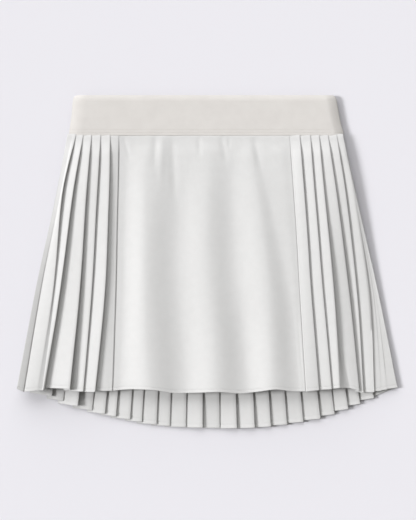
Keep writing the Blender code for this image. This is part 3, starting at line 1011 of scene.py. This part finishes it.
def makeBand():
    ups = [row[0] for row in band["rows"]]
    rows = []
    for r in range(band["rowSteps"] + 1):
        up = bandTall * (1 - eased(r / band["rowSteps"]))
        left = curveThrough(ups, [row[1] for row in band["rows"]], up)
        right = curveThrough(ups, [row[2] for row in band["rows"]], up)
        drop = 0.0
        for edge, away in (("lowerEdge", up), ("upperEdge", bandTall - up)):
            drop += band[edge]["drop"] * max(0.0, 1 - away / band[edge]["round"]) ** 2
        ring = [(right - inward, high) for inward, high in bandEnd(band["rightEnd"])]
        leftRing = [(left + inward, high) for inward, high in reversed(bandEnd(band["leftEnd"]))]
        for near, far in ((ring[-1], leftRing[0]), (leftRing[-1], ring[0])):
            flat = [k / band["flatSteps"] for k in range(1, band["flatSteps"])]
            middle = [(near[0] + (far[0] - near[0]) * t, near[1]) for t in flat]
            if near is ring[-1]:
                under = middle
            else:
                over = middle
        row = []
        for x, z in ring + under + leftRing + over + ring[:1]:
            above = max(0.0, z - band["thick"] / 2) / (band["thick"] / 2)
            row.append(Vector((x, waistY + up, z - drop * above)))
        rows.append(row)
    return rows


def bandPiece():
    rows = makeBand()
    high, wide = len(rows), len(rows[0])
    bm = bmesh.new()
    bmesh.ops.create_grid(bm, x_segments=wide - 1, y_segments=high - 1, size=1.0)
    cut = bm.loops.layers.uv.new("cut")
    along = [0.0]
    for a, b in zip(rows[0], rows[0][1:]):
        along.append(along[-1] + (b - a).length)
    for vert in bm.verts:
        c = round((vert.co.x + 1) / 2 * (wide - 1))
        r = round((1 - vert.co.y) / 2 * (high - 1))
        vert.co = rows[r][c] * metre
        for loop in vert.link_loops:
            loop[cut].uv = (along[c] * metre, (rows[r][0].y - waistY) * metre)
    bmesh.ops.remove_doubles(bm, verts=bm.verts, dist=0.01 * metre)
    return finishedCloth(
        "waistbandElastic", bm, band["wall"], -1.0, bandElastic, "waistband"
    )


def bandRows(paths):
    # the two rows of stitches that sew the skirt to the band, along its front and its back face
    rows = makeBand()
    sewn = []
    for up in paths:
        row = min(rows, key=lambda points: abs(points[0].y - waistY - up))
        path = []
        for c, point in enumerate(row):
            before, after = row[max(c - 1, 0)], row[min(c + 1, len(row) - 1)]
            spot = Vector((point.x, waistY + up, max(point.z, bandStitch["high"] / 2)))
            path.append((spot, Vector((0, 1, 0)).cross(after - before).normalized()))
        sewn.append(path)
    return sewn


waistband = bandPiece()
bandPaths = bandRows(band["stitchRows"])
bandStitches = sewnRow("bandStitches", bandPaths, bandStitch, threadWarm)


floorBoard = {"half": 6.0, "paint": "#E6E5EA", "roughness": 0.9, "gloss": 0.1}    # half in metres


def makeFloor():
    bm = bmesh.new()
    bmesh.ops.create_grid(bm, x_segments=1, y_segments=1, size=floorBoard["half"])
    mesh = bpy.data.meshes.new("floor")
    bm.to_mesh(mesh)
    bm.free()
    floor = bpy.data.objects.new("floor", mesh)
    bpy.context.scene.collection.objects.link(floor)
    # Board painted in a flat, pale, slightly violet grey: it takes soft shadows and shows no shine.
    material, tree, shader = newMaterial("paintedBoard")
    shader.inputs["Base Color"].default_value = linear(floorBoard["paint"])
    shader.inputs["Roughness"].default_value = floorBoard["roughness"]
    shader.inputs["Specular IOR Level"].default_value = floorBoard["gloss"]
    mesh.materials.append(material)


studio = {
    "key": {"towards": (-0.845, 0.040, 0.533), "energy": 2.85, "angle": 18},
    "waistLight": {"towards": (-0.28, 0.86, 0.43), "energy": 2.80, "angle": 70},
    "lampColour": (0.99, 0.985, 0.994),
    "room": {"colour": (1.0, 0.99, 0.955, 1.0), "strength": 0.209},
}


def makeLight():
    # a soft key low on the left, a broad low light from beyond the waist, and an even fill
    for name in ("key", "waistLight"):
        made = studio[name]
        sun = bpy.data.lights.new(name, "SUN")
        sun.energy = made["energy"]
        sun.angle = math.radians(made["angle"])
        sun.color = studio["lampColour"]
        sun.cycles.max_bounces = 0      # or the cloth's edges throw a glow on what lies beside them
        lamp = bpy.data.objects.new(name, sun)
        bpy.context.scene.collection.objects.link(lamp)
        lamp.rotation_euler = Vector(made["towards"]).to_track_quat("Z", "Y").to_euler()
    world = bpy.data.worlds.new("room")
    bpy.context.scene.world = world
    world.use_nodes = True
    sky = world.node_tree.nodes["Background"]
    sky.inputs["Color"].default_value = studio["room"]["colour"]
    sky.inputs["Strength"].default_value = studio["room"]["strength"]
    bpy.context.scene.view_settings.view_transform = "Standard"


view = {"lens": 124.0, "place": (0.0003, 0.0021, 2.212)}      # the place in metres


def makeCamera():
    # straight down on the laid garment, its waist at the top of the picture
    camera = bpy.data.cameras.new("camera")
    camera.lens = view["lens"]
    holder = bpy.data.objects.new("camera", camera)
    bpy.context.scene.collection.objects.link(holder)
    holder.location = view["place"]
    bpy.context.scene.camera = holder


makeFloor()
makeLight()
makeCamera()
